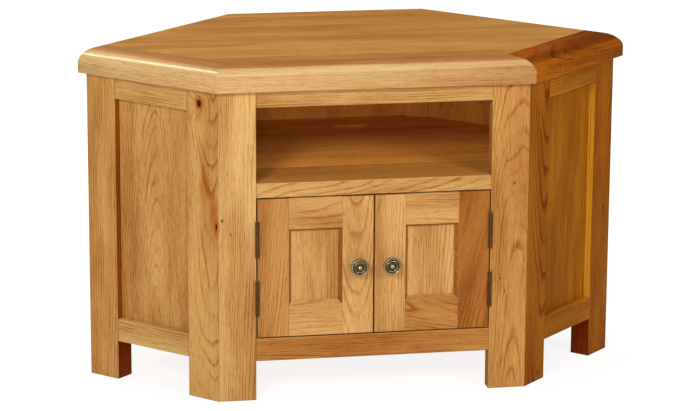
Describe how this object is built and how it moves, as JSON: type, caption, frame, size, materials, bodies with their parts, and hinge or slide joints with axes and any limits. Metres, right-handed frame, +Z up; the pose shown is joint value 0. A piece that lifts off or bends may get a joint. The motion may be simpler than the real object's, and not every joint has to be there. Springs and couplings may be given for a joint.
{
  "type": "corner tv cabinet",
  "caption": "Oak corner television cabinet with a mitred, round-nosed top, an open equipment bay and a cupboard closed by panelled doors on butt hinges.",
  "frame": {"origin": "middle of the floor under the cabinet's box, knobs included", "axes": "+X to the right as seen from the front, +Y to the back, into the corner of the room, +Z up; the doors face -Y"},
  "size_m": [1, 0.539, 0.6],
  "materials": {
    "oak_body": "satin lacquered oak",
    "oak_top": "satin lacquered oak",
    "oak_dark": "satin lacquered oak, a darker board",
    "oak_door": "satin lacquered oak",
    "oak_inside": "satin lacquered oak",
    "antique_brass": "antique, satin",
    "hinge_bronze": "dark bronze, satin",
    "plated_steel": "zinc plated",
    "catch_case": "matt brown"
  },
  "bodies": {
    "cabinet": {"top_field": "oak_top", "top_front_board": "oak_top", "top_left_board": "oak_top", "top_right_board": "oak_dark", "front_left_stile": "oak_body", "front_right_stile": "oak_body", "front_top_rail": "oak_body", "front_middle_board": "oak_body", "front_bottom_rail": "oak_body", "left_side_front_stile": "oak_body", "left_rear_post": "oak_body", "left_side_upper_rail": "oak_body", "left_side_lower_rail": "oak_body", "left_side_panel": "oak_body", "right_side_front_stile": "oak_body", "right_rear_post": "oak_body", "right_side_upper_rail": "oak_body", "right_side_lower_rail": "oak_body", "right_side_panel": "oak_body", "left_rear_panel": "oak_inside", "left_rear_lower_rail": "oak_inside", "left_back_post": "oak_inside", "right_rear_panel": "oak_inside", "right_rear_lower_rail": "oak_inside", "right_back_post": "oak_inside", "back_panel": "oak_inside", "back_lower_rail": "oak_inside", "bay_shelf": "oak_inside", "cupboard_floor": "oak_inside", "left_upper_hinge_frame_leaf": "hinge_bronze", "left_upper_hinge_pin": "hinge_bronze", "left_lower_hinge_frame_leaf": "hinge_bronze", "left_lower_hinge_pin": "hinge_bronze", "right_upper_hinge_frame_leaf": "hinge_bronze", "right_upper_hinge_pin": "hinge_bronze", "right_lower_hinge_frame_leaf": "hinge_bronze", "right_lower_hinge_pin": "hinge_bronze", "left_catch": "catch_case", "right_catch": "catch_case"},
    "left_door": {"left_door_hinge_stile": "oak_door", "left_door_meeting_stile": "oak_door", "left_door_top_rail": "oak_door", "left_door_bottom_rail": "oak_door", "left_door_panel": "oak_door", "left_knob": "antique_brass", "left_knob_screw": "plated_steel", "left_upper_hinge_door_leaf": "hinge_bronze", "left_lower_hinge_door_leaf": "hinge_bronze", "left_catch_plate": "plated_steel"},
    "right_door": {"right_door_hinge_stile": "oak_door", "right_door_meeting_stile": "oak_door", "right_door_top_rail": "oak_door", "right_door_bottom_rail": "oak_door", "right_door_panel": "oak_door", "right_knob": "antique_brass", "right_knob_screw": "plated_steel", "right_upper_hinge_door_leaf": "hinge_bronze", "right_lower_hinge_door_leaf": "hinge_bronze", "right_catch_plate": "plated_steel"}
  },
  "joints": [
    {"name": "left_door_hinge", "type": "hinge", "parent": "cabinet", "child": "left_door", "pos_m": [-0.2092, -0.24832, 0.24175], "axis": [0, 0, -1], "range_deg": [0, 180]},
    {"name": "right_door_hinge", "type": "hinge", "parent": "cabinet", "child": "right_door", "pos_m": [0.2092, -0.24832, 0.24175], "axis": [0, 0, 1], "range_deg": [0, 180]}
  ]
}
